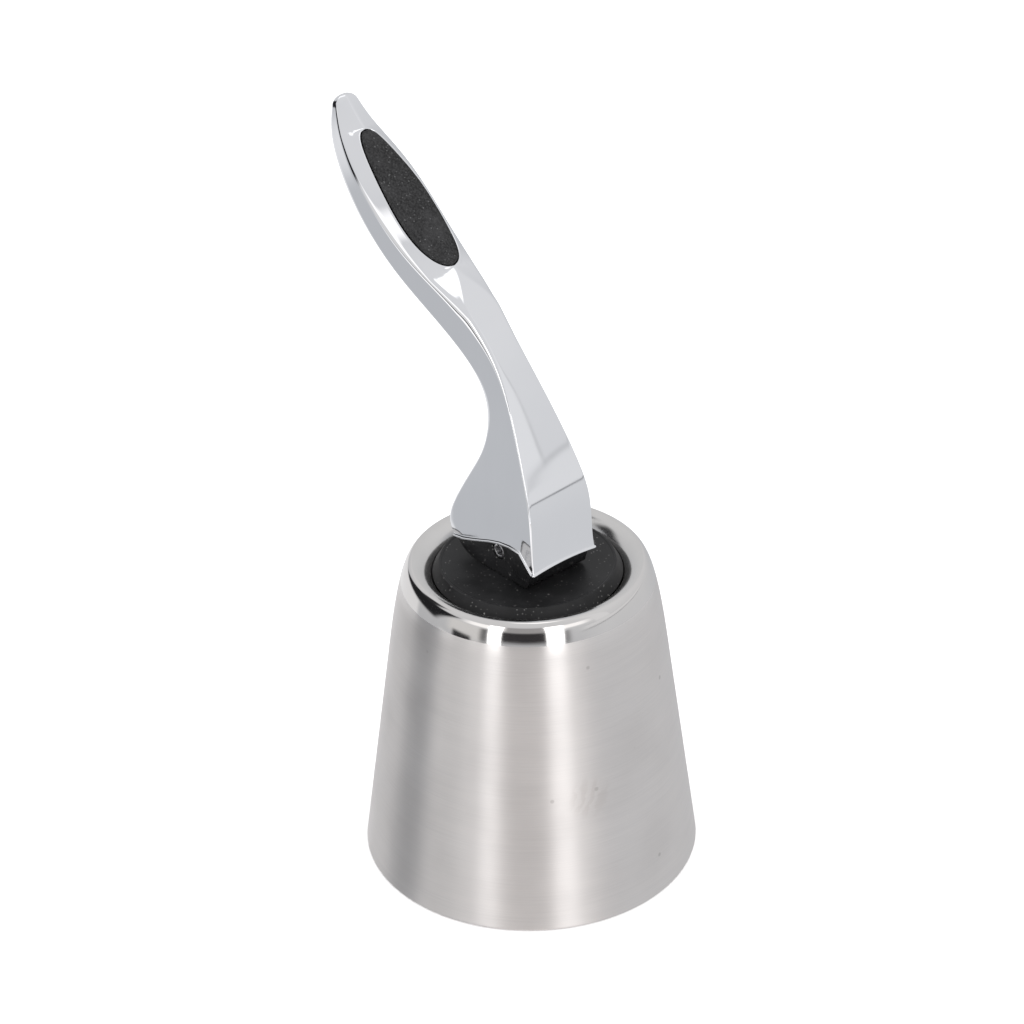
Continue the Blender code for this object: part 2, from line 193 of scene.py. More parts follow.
# What the metals see, in the order it is laid down: colour, bearings from the camera's and elevations
# in degrees, how soft the sides and the ends are, and how much it covers if that isn't everything
ROOM = (
    ((0.88, 0.88, 0.89), (50, 140), (-80, 89), 25, 8, 0.45),
    ((1.10, 1.04, 1.02), (-40, 45), (-100, -6), 20, 3),
    ((1.36, 1.34, 1.33), (-80, 42), (-25, -9), 4, 3),
    ((0.80, 0.79, 0.78), (-72, -38), (-4, 16), 5, 3),
    ((0.02, 0.02, 0.022), (-67, -50), (-10, -1.5), 2, 1.5),
    ((1.35, 1.33, 1.32), (-58, 54), (18, 31), 9, 2),
    ((0.42, 0.41, 0.41), (-22, 17), (12, 33), 4, 3),
    ((0.92, 0.92, 0.93), (-168, -109), (-70, -4), 3, 3),
    ((0.96, 0.93, 0.92), (-20, 13), (-45, -5), 3, 3),
    ((0.045, 0.042, 0.044), (-24, 15), (0.3, 15), 2, 2.6),
    ((0.10, 0.10, 0.10), (-42, -35), (-3, 15), 3, 3, 0.85),
    ((0.20, 0.20, 0.20), (29, 35), (-3, 13), 3, 3, 0.8),
)
NEAR_ROOM = (
    ((0.03, 0.03, 0.032), (-118, -92), (20, 44), 6, 5),
    ((1.6, 1.6, 1.6), (-181, 181), (83, 120), 1, 3),
    ((1.6, 1.6, 1.6), (12, 181), (77.5, 120), 14, 4.5),
    ((0.84, 0.84, 0.85), (48, 118), (4.5, 10.6), 6, 0.6),
    ((0.20, 0.20, 0.21), (48, 118), (3.6, 4.6), 8, 0.5, 0.8),
    ((0.50, 0.50, 0.51), (48, 118), (10.6, 11.4), 8, 0.5, 0.5),
    ((0.88, 0.88, 0.89), (60, 75.5), (11.4, 62), 0.6, 1.5),
    ((0.50, 0.50, 0.51), (75.3, 76.0), (11.4, 62), 0.4, 1.5, 0.45),
)


# Meshes


def linked(name, data):
    """A new object in the scene that holds the data."""
    made = bpy.data.objects.new(name, data)
    bpy.context.scene.collection.objects.link(made)
    return made


def mesh_from(name, points, faces):
    mesh = bpy.data.meshes.new(name)
    mesh.from_pydata([tuple(Vector(point) * MM) for point in points], [], faces)
    return mesh


def face_outwards(mesh, merge=0.0):
    """Turns every face outwards, once points closer than merge have become one."""
    build = bmesh.new()
    build.from_mesh(mesh)
    if merge:
        bmesh.ops.remove_doubles(build, verts=build.verts, dist=merge)
    bmesh.ops.recalc_face_normals(build, faces=build.faces)
    build.to_mesh(mesh)
    build.free()


def smooth(mesh):
    mesh.shade_smooth()
    mesh.set_sharp_from_angle(angle=SMOOTH_ANGLE)


def mesh_piece(name, points, faces, body, stands_for, materials, face_materials=None):
    """A shown piece from points in millimetres, in place of the CAD node that it stands for."""
    mesh = mesh_from(name, points, faces)
    for item in materials:
        mesh.materials.append(item)
    if face_materials is not None:
        mesh.polygons.foreach_set("material_index", face_materials)
    face_outwards(mesh, SAME_POINT)
    smooth(mesh)
    piece = linked(name, mesh)
    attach(piece, body)
    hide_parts(stands_for)
    return piece


def turned_mesh(profile, steps):
    """Points and faces of a closed (radius, z) profile turned about Z."""
    points = []
    faces = []
    rings = []
    for radius, z in profile:
        if radius < 1e-6:
            rings.append([len(points)] * steps)
            points.append((0.0, 0.0, z))
            continue
        rings.append(list(range(len(points), len(points) + steps)))
        for step in range(steps):
            angle = math.tau * step / steps
            points.append((radius * math.cos(angle), radius * math.sin(angle), z))
    for ring, after in zip(rings, rings[1:] + rings[:1]):
        for i in range(steps):
            k = (i + 1) % steps
            corners = list(dict.fromkeys((ring[i], after[i], after[k], ring[k])))
            if len(corners) > 2:
                faces.append(corners)
    return points, faces


def curve(handles, count):
    """Points of a Bezier curve from its ends and its two handles."""
    return [point.to_2d() for point in interpolate_bezier(*map(Vector, handles), count)]


def eased(corners, steps=4):
    """A profile of (x, z, radius) corners, with each corner rounded to its radius."""
    points = []
    for i, (x, z, radius) in enumerate(corners):
        here = Vector((x, z))
        if radius == 0:
            points.append((x, z))
            continue
        before = (Vector(corners[i - 1][:2]) - here).normalized()
        after = (Vector(corners[(i + 1) % len(corners)][:2]) - here).normalized()
        half = before.angle(after) / 2
        reach = radius / math.tan(half)
        start = here + before * reach
        end = here + after * reach
        handle = 4 / 3 * math.tan((math.pi - 2 * half) / 4) * radius / reach
        points += curve([start, start.lerp(here, handle), end.lerp(here, handle), end], steps + 1)
    return points


def turned_piece(name, profile, body, stands_for, materials, steps=128):
    points, faces = turned_mesh(profile, steps)
    return mesh_piece(name, points, faces, body, stands_for, materials)


def arc(radius, angles):
    return [(radius * math.cos(angle), radius * math.sin(angle)) for angle in angles]


def prism_mesh(outline, reach):
    """An outline of (x, z) points measured from the pivot, extruded by reach to both sides along Y."""
    count = len(outline)
    points = [Vector((x, y, z)) + PIVOT for y in (-reach, reach) for x, z in outline]
    faces = [[i, (i + 1) % count, count + (i + 1) % count, count + i] for i in range(count)]
    faces += [list(range(count))[::-1], list(range(count, 2 * count))]
    return points, faces


def prism_tool(name, outline, reach):
    """The same prism as an object to cut with, or to join on."""
    mesh = mesh_from(name, *prism_mesh(outline, reach))
    face_outwards(mesh)
    return linked(name, mesh)


def apply_modifiers(piece):
    """Keeps the piece's evaluated mesh and drops its modifiers."""
    graph = bpy.context.evaluated_depsgraph_get()
    made = bpy.data.meshes.new_from_object(piece.evaluated_get(graph))
    piece.modifiers.clear()
    piece.data = made


def combine(piece, operation, tools):
    """Applies a boolean operation to the piece with each tool in turn, and removes the tools."""
    for tool in tools:
        step = piece.modifiers.new(tool.name, "BOOLEAN")
        step.object = tool
        step.operation = operation
        step.solver = "EXACT"
    apply_modifiers(piece)
    for tool in tools:
        bpy.data.objects.remove(tool, do_unlink=True)


def bevel(piece, width, segments):
    step = piece.modifiers.new("edges", "BEVEL")
    step.width = width * MM
    step.segments = segments
    step.limit_method = "ANGLE"
    step.angle_limit = BEVEL_ANGLE
    step.use_clamp_overlap = True
    apply_modifiers(piece)
    smooth(piece.data)


# Materials


class Paint:
    """A node material under construction, with short calls for the nodes that it needs."""

    def __init__(self, name, **constants):
        self.material = bpy.data.materials.new(name)
        self.material.use_nodes = True
        self.tree = self.material.node_tree
        self.shader = self.tree.nodes["Principled BSDF"]
        for socket, value in constants.items():
            self.set(socket.replace("_", " "), value)

    def set(self, socket, value):
        self.put(self.shader.inputs[socket], value)

    def put(self, socket, value):
        """Links another node's output to the socket, or sets the socket's constant."""
        if isinstance(value, bpy.types.NodeSocket):
            self.tree.links.new(value, socket)
        elif socket.type == "RGBA":
            socket.default_value = (*value, 1.0)
        else:
            socket.default_value = value

    def node(self, kind, values=(), **settings):
        made = self.tree.nodes.new("ShaderNode" + kind)
        for key, value in settings.items():
            setattr(made, key, value)
        for key, value in dict(values).items():
            self.put(made.inputs[key], value)
        return made

    def position(self):
        """The point on the piece, in metres, before its body moves."""
        return self.node("TexCoord").outputs["Object"]

    def axes(self, vector):
        return self.node("SeparateXYZ", {0: vector}).outputs

    def math(self, operation, a, b=0.0):
        return self.node("Math", {0: a, 1: b}, operation=operation).outputs[0]

    def times(self, a, b):
        return self.math("MULTIPLY", a, b)

    def noise(self, vector, scale, detail=2.0, roughness=0.5):
        values = {"Vector": vector, "Scale": scale, "Detail": detail, "Roughness": roughness}
        return self.node("TexNoise", values).outputs[0]

    def ramp(self, value, low, high, to_low=0.0, to_high=1.0):
        """value from low to high becomes to_low to to_high, held beyond both ends."""
        values = {"Value": value, "From Min": low, "From Max": high, "To Min": to_low, "To Max": to_high}
        return self.node("MapRange", values, interpolation_type="SMOOTHSTEP").outputs[0]

    def mix(self, factor, a, b):
        made = self.node("Mix", data_type="RGBA")
        colours = [socket for socket in made.inputs if socket.type == "RGBA"]
        self.put(made.inputs[0], factor)
        self.put(colours[0], a)
        self.put(colours[1], b)
        return next(socket for socket in made.outputs if socket.type == "RGBA")

    def specks(self, vector, scale, size, share):
        """1 on scattered grains: size is their radius and share the part of the cells that hold one."""
        cells = self.node("TexVoronoi", {"Vector": vector, "Scale": scale})
        near = self.ramp(cells.outputs["Distance"], size * 0.5, size, 1.0, 0.0)
        chosen = self.math("LESS_THAN", self.axes(cells.outputs["Color"])[0], share)
        return self.times(near, chosen)

    def finish(self, colour, roughness, relief, depth):
        """The material, with its colour, its roughness and a relief of that depth in millimetres."""
        values = {"Height": relief, "Distance": depth * MM, "Strength": 1.0}
        self.set("Base Color", colour)
        self.set("Roughness", roughness)
        self.set("Normal", self.node("Bump", values).outputs[0])
        return self.material


def around_axis(paint, along, across):
    """A vector for marks that run round the Z axis: along scales the angle and across scales the height."""
    x, y, z = paint.axes(paint.position())
    angle = paint.math("ARCTAN2", y, x)
    values = {
        0: paint.times(paint.math("COSINE", angle), along),
        1: paint.times(paint.math("SINE", angle), along),
        2: paint.times(z, across),
    }
    return paint.node("CombineXYZ", values).outputs[0]


def brushed_steel():
    """The bell's wall: brushed round its axis, with faint smudges and a few specks."""
    paint = Paint("bell_wall_brushed", Metallic=1.0, Anisotropic=0.94)
    tangent = paint.node("Tangent", direction_type="RADIAL", axis="Z").outputs[0]
    paint.set("Tangent", tangent)
    paint.set("Anisotropic Rotation", 0.25)
    fine = paint.noise(around_axis(paint, 2.2, 9000), 1.0, 3.0, 0.65)
    broad = paint.noise(around_axis(paint, 1.1, 900), 1.0, 2.0)
    cloud = paint.noise(paint.position(), 110, 3.0)
    specks = paint.specks(paint.position(), 420, 0.16, 0.05)
    tone = paint.mix(paint.ramp(fine, 0.3, 0.7), (0.715, 0.695, 0.685), (0.75, 0.73, 0.72))
    tone = paint.mix(paint.ramp(broad, 0.35, 0.65, 0.0, 0.25), tone, (0.78, 0.755, 0.74))
    tone = paint.mix(paint.ramp(cloud, 0.4, 0.75, 0.0, 0.12), tone, (0.55, 0.53, 0.52))
    tone = paint.mix(paint.times(specks, 0.35), tone, (0.33, 0.31, 0.30))
    offset = paint.node("VectorMath", {0: paint.position(), 1: SMUDGE * MM}, operation="DISTANCE")
    print_area = paint.ramp(offset.outputs["Value"], 1.5 * MM, 3.6 * MM, 1.0, 0.0)
    ridges = paint.node("TexWave", {0: paint.position(), "Scale": 620, "Distortion": 5})
    touch = paint.times(print_area, paint.ramp(ridges.outputs[1], 0.2, 0.8, 0.12, 0.4))
    tone = paint.mix(touch, tone, (0.60, 0.57, 0.55))
    height = paint.axes(paint.position())[2]
    fade = paint.ramp(height, (BRUSHED_TOP - 2.0) * MM, BRUSHED_TOP * MM, 1.0, 0.75)
    rough = paint.ramp(cloud, 0.3, 0.7, 0.385, 0.43)
    return paint.finish(tone, paint.times(rough, fade), fine, 0.0008)


def lined_steel(name, tones, roughness, lines, cloud, depth):
    """Steel with lines round its axis, and tones and roughness that drift between two values.

    lines holds the scales along and across the lines, their detail and their roughness. cloud holds the
    scale and detail of the drift, and depth is how deep the lines are.
    """
    paint = Paint(name, Metallic=1.0)
    along, across, detail, grit = lines
    marks = paint.noise(around_axis(paint, along, across), 1.0, detail, grit)
    drift = paint.noise(paint.position(), *cloud)
    return paint.finish(paint.mix(drift, *tones), paint.ramp(drift, 0.3, 0.7, *roughness), marks, depth)


def polished_steel():
    """The bell's shoulder: buffed bright, with hairlines."""
    tones = (0.68, 0.665, 0.655), (0.74, 0.725, 0.715)
    lines = 3.0, 6000, 2.0, 0.6
    return lined_steel("bell_shoulder_polished", tones, (0.06, 0.10), lines, (160, 3.0), 0.0006)


def lip_steel():
    """The bell's lip, softer than the shoulder, where the buff only brushed it."""
    tones = (0.65, 0.64, 0.63), (0.72, 0.71, 0.70)
    lines = 3.0, 7000, 3.0, 0.6
    return lined_steel("bell_lip_satin", tones, (0.15, 0.21), lines, (180, 3.0), 0.001)


def turned_steel():
    """Bright turned steel with tool marks."""
    tones = (0.52, 0.52, 0.53), (0.66, 0.66, 0.67)
    lines = 1.0, 5200, 3.0, 0.7
    return lined_steel("turned_steel", tones, (0.20, 0.34), lines, (300, 4.0), 0.003)


def drawn_steel():
    """The bell's inside, dull from the press."""
    paint = Paint("bell_inside_drawn", Metallic=1.0)
    marks = paint.noise(around_axis(paint, 14.0, 300), 1.0, 4.0, 0.6)
    cloud = paint.noise(paint.position(), 90, 4.0)
    tone = paint.mix(cloud, (0.46, 0.45, 0.44), (0.58, 0.57, 0.56))
    return paint.finish(tone, paint.ramp(marks, 0.3, 0.7, 0.36, 0.52), marks, 0.006)


def chrome():
    """Mirror plating over a cast and polished core: near flat, with a slow waviness and hairlines."""
    paint = Paint("lever_chrome_plate", Metallic=1.0)
    place = paint.position()
    wave = paint.noise(place, 70, 1.0, 0.4)
    drawn_out = paint.node("Mapping", {"Vector": place, "Scale": (240, 90, 60)}).outputs[0]
    smear = paint.noise(drawn_out, 1.0, 4.0, 0.6)
    specks = paint.specks(place, 420, 0.05, 0.05)
    tone = paint.mix(smear, (0.78, 0.79, 0.812), (0.82, 0.828, 0.848))
    tone = paint.mix(paint.times(specks, 0.4), tone, (0.45, 0.45, 0.46))
    return paint.finish(tone, paint.ramp(smear, 0.35, 0.75, 0.035, 0.085), wave, 0.006)


def moulded_black(name="moulded_black", tone=(0.009, 0.009, 0.0095), gloss=0.42, dusty=True):
    """Satin black plastic with a fine spark texture and, in the open, settled dust."""
    paint = Paint(name, Specular_IOR_Level=0.2)
    place = paint.position()
    grain = paint.noise(place, 5200, 3.0, 0.7)
    cloud = paint.noise(place, 150, 4.0, 0.6)
    light = tuple(channel * 2.1 for channel in tone)
    colour = paint.mix(paint.ramp(cloud, 0.35, 0.75), tone, light)
    if dusty:
        drift = paint.ramp(paint.noise(place, 95, 3.0), 0.42, 0.62, 0.25, 1.0)
        fine = paint.specks(place, 2600, 0.30, 0.22)
        coarse = paint.specks(place, 900, 0.15, 0.16)
        dust = paint.math("ADD", paint.times(fine, 0.45), paint.times(coarse, 0.95))
        dust = paint.times(dust, drift)
        colour = paint.mix(paint.math("MINIMUM", dust, 1.0), colour, (0.42, 0.41, 0.40))
    return paint.finish(colour, paint.ramp(cloud, 0.3, 0.7, gloss - 0.06, gloss + 0.08), grain, 0.004)


def grip_rubber():
    """The inlay's rubber: a grained surface with pale specks caught in the grain."""
    paint = Paint("grip_rubber_grained", Specular_IOR_Level=0.25)
    place = paint.position()
    grain = paint.noise(place, 3600, 4.0, 0.75)
    patch = paint.noise(place, 260, 3.0, 0.6)
    specks = paint.specks(place, 2300, 0.32, 0.30)
    tone = paint.mix(paint.ramp(grain, 0.38, 0.66), (0.007, 0.007, 0.0075), (0.032, 0.032, 0.033))
    tone = paint.mix(paint.ramp(patch, 0.4, 0.7, 0.0, 0.35), tone, (0.045, 0.045, 0.047))
    tone = paint.mix(paint.times(specks, 0.30), tone, (0.20, 0.20, 0.205))
    return paint.finish(tone, paint.ramp(grain, 0.3, 0.7, 0.62, 0.85), grain, 0.03)


def seal_rubber():
    """Smooth moulded rubber with a faint bloom."""
    paint = Paint("seal_rubber_bloom")
    place = paint.position()
    bloom = paint.noise(place, 130, 5.0, 0.65)
    grain = paint.noise(place, 4200, 2.0, 0.6)
    flow = paint.noise(around_axis(paint, 1.5, 1400), 1.0, 2.0)
    tone = paint.mix(paint.ramp(bloom, 0.4, 0.75), (0.015, 0.015, 0.016), (0.045, 0.044, 0.043))
    tone = paint.mix(paint.ramp(flow, 0.45, 0.7, 0.0, 0.2), tone, (0.05, 0.05, 0.05))
    return paint.finish(tone, paint.ramp(bloom, 0.3, 0.7, 0.5, 0.7), grain, 0.006)


def acetal():
    paint = Paint("bush_acetal", Subsurface_Weight=0.1)
    cloud = paint.noise(paint.position(), 260, 4.0)
    grain = paint.noise(paint.position(), 3800, 2.0)
    tone = paint.mix(cloud, (0.76, 0.75, 0.70), (0.83, 0.82, 0.78))
    return paint.finish(tone, paint.ramp(cloud, 0.3, 0.7, 0.34, 0.48), grain, 0.004)


# Bell


def bell_outline(inset):
    """The bell's skin from the lip's inner edge to the rim, moved inwards by inset."""
    crest = (CREST_RADIUS, CREST_Z)
    rise = 5.8
    under_shoulder = (SHOULDER_RADIUS - WALL_LEAN * rise, SHOULDER_START + rise)
    lip = curve([(11.7, 40.9), (12.4, 42.0), (13.6, CREST_Z), crest], 22)
    shoulder = curve(
        [crest, (CREST_RADIUS + 1.4, CREST_Z), under_shoulder, (SHOULDER_RADIUS, SHOULDER_START)], 40)
    points = lip + shoulder[1:]
    for i in range(1, 13):
        z = SHOULDER_START + (0.5 - SHOULDER_START) * i / 12
        points.append(Vector((RIM_RADIUS - WALL_LEAN * z, z)))
    moved = []
    for i, point in enumerate(points):
        run = points[min(i + 1, len(points) - 1)] - points[max(i - 1, 0)]
        moved.append(point + Vector((run.y, -run.x)).normalized() * inset)
    return [tuple(point) for point in moved]


def bell(wall, shoulder, lip, inside):
    outer = bell_outline(0)
    inner = bell_outline(WALL)[::-1]
    rim_middle = RIM_RADIUS - WALL / 2 - 0.04
    roll = WALL / 2
    turns = np.linspace(0.15, math.pi - 0.15, 11)
    rim = [(rim_middle + roll * math.cos(turn), roll - roll * math.sin(turn)) for turn in turns]
    points, faces = turned_mesh(outer + rim + inner, BELL_STEPS)
    materials = [wall, shoulder, lip, inside]
    bands = []
    for radius, z in outer:
        on_lip = radius < CREST_RADIUS - 0.2 and z > BRUSHED_TOP - 1
        on_wall = z < BRUSHED_TOP
        bands.append(lip if on_lip else wall if on_wall else shoulder)
    bands += [wall] * len(rim) + [inside] * len(inner)
    kinds = [materials.index(band) for band in bands for _ in range(BELL_STEPS)]
    mesh_piece("bell_skin", points, faces, "bell", "bell_cover", materials, kinds)


# Disc


def top_disc(black):
    """The disc, with its plateau, the raised ring round that, its rounded edge and the eye's slot."""
    middle = DISC_TOP - 0.08
    corners = [(0, middle, 0), (11.2, middle, 0.1), (11.36, DISC_TOP, 0.08), (11.6, DISC_TOP, 0.1)]
    corners += [(12.5, 42.22, 0.08), (12.3, 41.9, 0.1), (11.35, 40.9, 0.1), (11.35, 40.2, 0), (0, 40.2, 0)]
    disc = turned_piece("top_disc", eased(corners, 6), "bell", "cam_disc", [black], 192)
    slot = [(-EYE_ROOM, -8.1), (EYE_ROOM, -8.1), (EYE_ROOM, -2.1), (-EYE_ROOM, -2.1)]
    combine(disc, "DIFFERENCE", [prism_tool("disc_slot", slot, EYE_HALF_ROOM)])
    smooth(disc.data)


# Lever


def spline(rows):
    """A curve with even curvature through the rows, as a function of the place between them."""
    rows = np.array(rows, float)
    count = len(rows)
    system = np.eye(count)
    right = np.zeros_like(rows)
    for i in range(1, count - 1):
        system[i, i - 1:i + 2] = (1, 4, 1)
        right[i] = 6 * (rows[i + 1] - 2 * rows[i] + rows[i - 1])
    bend = np.linalg.solve(system, right)

    def at(place):
        i = int(min(max(math.floor(place), 0), count - 2))
        t = place - i
        if t < 0:
            return rows[0] + t * (rows[1] - rows[0] - bend[1] / 6 - bend[0] / 3)
        u = 1 - t
        return u * rows[i] + t * rows[i + 1] + ((u**3 - u) * bend[i] + (t**3 - t) * bend[i + 1]) / 6

    return at


lever_at = spline(LEVER_STATIONS)
skirt_at = spline(SKIRT)


def eased_share(value):
    share = min(max(value, 0.0), 1.0)
    return share * share * (3 - 2 * share)


def leaf_half_width(place):
    """Half the inlay's width at a place along the lever."""
    share = min(max((place - LEAF_FROM) / (LEAF_TO - LEAF_FROM), 0.0), 1.0)
    skewed = share**LEAF_SKEW
    low, high = LEAF_SHARPNESS
    return LEAF_HALF * max(1 - (2 * skewed - 1) ** 2, 0.0) ** (low + (high - low) * share)


def flat_half_width(place, half_width):
    """Half the width of the front face's flat middle. Flanks fall away from it to both edges."""
    if place < LEAF_FROM:
        return 0.8 * half_width * eased_share((LEAF_FROM - place) / (LEAF_FROM - NECK_FROM))
    return max(leaf_half_width(place) - FLANK_ROUNDING, 0.0)


def face_rise(place, bulge, half_width, y):
    """Height of the front face above its edges, and its slope."""
    flat = flat_half_width(place, half_width)
    run = half_width - flat
    past = abs(y) - flat
    if past < -FLANK_ROUNDING:
        fall, slope = 0.0, 0.0
    elif past < FLANK_ROUNDING:
        fall, slope = (past + FLANK_ROUNDING) ** 2 / (4 * FLANK_ROUNDING), (past / FLANK_ROUNDING + 1) / 2
    else:
        fall, slope = past, 1.0
    crown = CROWN * eased_share((NECK_FROM + 1 - place) / 2)
    height = bulge * (1 - fall / run) + crown * (1 - (y / half_width) ** 2)
    return height, -bulge * slope / run - 2 * crown * abs(y) / half_width**2


def station_frame(place):
    front_x, front_z, back_x, back_z, half_width, bulge, edge = lever_at(place)
    back = Vector((back_x, 0, back_z))
    front = Vector((front_x, 0, front_z))
    depth = (front - back).length
    return back, (front - back) / depth, depth, half_width, max(bulge, 0.0), min(edge, 0.45 * depth)


def leaned(point):
    """The casting stands a little to one side of its pin's middle."""
    point.y += SIDE_LEAN * eased_share((point.z - LEAN_FROM) / (LEAN_TO - LEAN_FROM))
    return point


def half_section(place):
    """(depth, width) points from the middle of the back, round one side, to the middle of the front."""
    _, _, depth, half_width, bulge, edge = station_frame(place)
    rounding = min(BACK_ROUNDING, 0.3 * depth)
    points = [(0.0, (half_width - rounding) * i / BACK_STEPS) for i in range(BACK_STEPS + 1)]
    for i in range(1, BACK_CORNER_STEPS + 1):
        angle = math.pi / 2 * i / BACK_CORNER_STEPS
        points.append((rounding * (1 - math.cos(angle)), half_width - rounding * (1 - math.sin(angle))))
    for i in range(1, SIDE_STEPS + 1):
        points.append((rounding + (depth - edge - rounding) * i / SIDE_STEPS, half_width))
    inner = half_width - edge
    height, slope = face_rise(place, bulge, half_width, inner)
    start = Vector((depth - edge, half_width))
    end = Vector((depth + height, inner))
    corner = Vector((depth + height + slope * edge, half_width))
    points += curve([start, start.lerp(corner, 0.6), end.lerp(corner, 0.6), end], EDGE_STEPS + 1)[1:]
    for i in range(1, FACE_STEPS + 1):
        y = inner * (1 - i / FACE_STEPS)
        points.append((depth + face_rise(place, bulge, half_width, y)[0], y))
    return points


def lever_ring(place):
    """A closed ring round the lever: down the near side to the front's middle, back along the far side."""
    back, outwards, *_ = station_frame(place)
    half = half_section(place)
    near = [back + outwards * d + Vector((0, -y, 0)) for d, y in half]
    far = [back + outwards * d + Vector((0, y, 0)) for d, y in half]
    return [leaned(point) for point in near + far[-2:0:-1]]


def face_point(across, place):
    """A point on the front face: across runs from -1 to 1 between the rounded edges."""
    back, outwards, depth, half_width, bulge, edge = station_frame(place)
    y = across * (half_width - edge)
    height = face_rise(place, bulge, half_width, y)[0]
    return leaned(back + outwards * (depth + height) + Vector((0, y, 0)))


def face_normal(across, place):
    step = 0.01
    right = face_point(across + step, place) - face_point(across - step, place)
    up = face_point(across, place + step) - face_point(across, place - step)
    return right.cross(up).normalized()


def crossing(past, low, high, steps):
    """Closes in, between low and high, on the place from which past is true."""
    for _ in range(steps):
        middle = (low + high) / 2
        if past(middle):
            high = middle
        else:
            low = middle
    return low, high


def skirt_height(x, y, half_width):
    """Height of the lower edge under a point of the foot's skin."""
    if x > SKIRT[-1][0] - 0.35:
        share = min(abs(y) / half_width, 1)
        return SKIRT[-1][1] + TOE_LIFT * (1 - share**2)
    if x < SKIRT[0][0]:
        return SKIRT[0][1]
    return skirt_at(crossing(lambda place: skirt_at(place)[0] >= x, 0.0, len(SKIRT) - 1.0, 40)[0])[1]


def foot_places(height_of, top):
    """For each column, the place along the lever at which its skin crosses a height."""
    samples = np.linspace(-0.6, top, 130)
    rings = [lever_ring(place) for place in samples]

    def above(point, place):
        return point.z > height_of(point.x, point.y, lever_at(place)[4])

    places = []
    for column in range(COLUMNS):
        below = samples[0]
        for place, ring in zip(samples, rings):
            if above(ring[column], place):
                break
            below = place
        ends = below, below + (samples[1] - samples[0])
        places.append(sum(crossing(lambda place: above(lever_ring(place)[column], place), *ends, 12)) / 2)
    return places


class Skin:
    """Points and faces of one closed mesh, added ring by ring."""

    def __init__(self):
        self.points = []
        self.faces = []

    def ring(self, points):
        start = len(self.points)
        self.points += [Vector(point) for point in points]
        return list(range(start, len(self.points)))

    def grow(self, lower, points, skipped=()):
        """Adds a ring and the faces between it and the lower one, apart from the skipped ones."""
        upper = self.ring(points)
        count = len(lower)
        for i in range(count):
            if i not in skipped:
                k = (i + 1) % count
                self.faces.append([lower[i], lower[k], upper[k], upper[i]])
        return upper

    def close(self, ring):
        self.faces.append(list(ring))


def ring_normals(points):
    """Outward normals of a closed ring, square to Z."""
    count = len(points)
    centre = sum(points, Vector()) / count
    normals = []
    for i in range(count):
        run = points[(i + 1) % count] - points[i - 1]
        side = Vector((run.y, -run.x, 0)).normalized()
        if side.dot(points[i] - centre) < 0:
            side = -side
        normals.append(side)
    return normals


def even_places(start, end):
    """Places from start to end, about a row's spacing apart along the lever, end included."""
    fine = np.linspace(start, end, 600)
    centres = []
    for place in fine:
        row = lever_at(place)
        centres.append(Vector(((row[0] + row[2]) / 2, 0, (row[1] + row[3]) / 2)))
    run = np.concatenate([[0], np.cumsum([(b - a).length for a, b in zip(centres, centres[1:])])])
    count = max(int(run[-1] / ROW_SPACING), 1)
    return list(np.interp(np.linspace(0, run[-1], count + 1), run, fine))


def leaf_outline(turn):
    """The inlay's outline as (y, place): turn runs from 0 at its lower end to pi at its upper end."""
    place = LEAF_FROM + (LEAF_TO - LEAF_FROM) * (1 - math.cos(turn)) / 2
    return leaf_half_width(place), place


def across_at(y, place):
    _, _, _, half_width, _, edge = station_frame(place)
    return y / (half_width - edge)


def leaf_loop(boundary):
    """Points (across, place) of the leaf that face the points of the boundary loop, one for one."""
    def lengths(loop):
        points = [face_point(*pair) for pair in loop]
        return np.concatenate([[0], np.cumsum([(b - a).length for a, b in zip(points, points[1:])])])

    half = len(boundary) // 2
    edge_run = lengths(boundary[:half + 1])
    turns = np.linspace(0, math.pi, 240)
    fine = [(across_at(y, place), place) for y, place in map(leaf_outline, turns)]
    leaf_run = lengths(fine)
    wanted = np.interp(edge_run / edge_run[-1], leaf_run / leaf_run[-1], turns)
    side = [(across_at(y, place), place) for y, place in map(leaf_outline, wanted)]
    return side + [(-across, place) for across, place in side[-2:0:-1]]


def loop_frames(loop):
    """Point, normal and inward direction in the face at each point of the leaf's loop."""
    points = [face_point(*pair) for pair in loop]
    frames = []
    for i, pair in enumerate(loop):
        normal = face_normal(*pair)
        run = points[(i + 1) % len(points)] - points[i - 1]
        inwards = normal.cross(run).normalized()
        frames.append((points[i], normal, inwards))
    return frames


def patch_places():
    return even_places(LEAF_FROM - 0.14, LEAF_TO + 0.14)


def patch_boundary(places):
    """The loop (across, place) round the patch: from the bottom's middle, counter-clockwise."""
    steps = [i / FACE_STEPS for i in range(FACE_STEPS + 1)]
    bottom = [(step, places[0]) for step in steps]
    right = [(1.0, place) for place in places[1:]]
    top = [(1 - step, places[-1]) for step in steps[1:]]
    half = bottom + right + top
    return half + [(-across, place) for across, place in half[-2:0:-1]]


def foot_ring(skirt, edge, share):
    """The foot's skin a share of the way up from its edge, with the flare and the bead."""
    ring = [lever_ring(low + (FOOT_TOP - low) * share)[column] for column, low in enumerate(skirt)]
    height = BEAD_HOLLOW * math.sin(BEAD_TILT)
    for column, out in enumerate(ring_normals(ring)):
        rise = ring[column].z - edge[column].z
        turn = math.asin(max(height - rise, 0.0) / BEAD_HOLLOW)
        spread = APRON_SPREAD * apron_share(ring[column], out) * max(1 - rise / APRON_HEIGHT, 0.0) ** 2
        spread += BEAD_HOLLOW * (1 - math.cos(turn))
        ring[column] = ring[column] + out * spread * bead_share(out)
    return ring


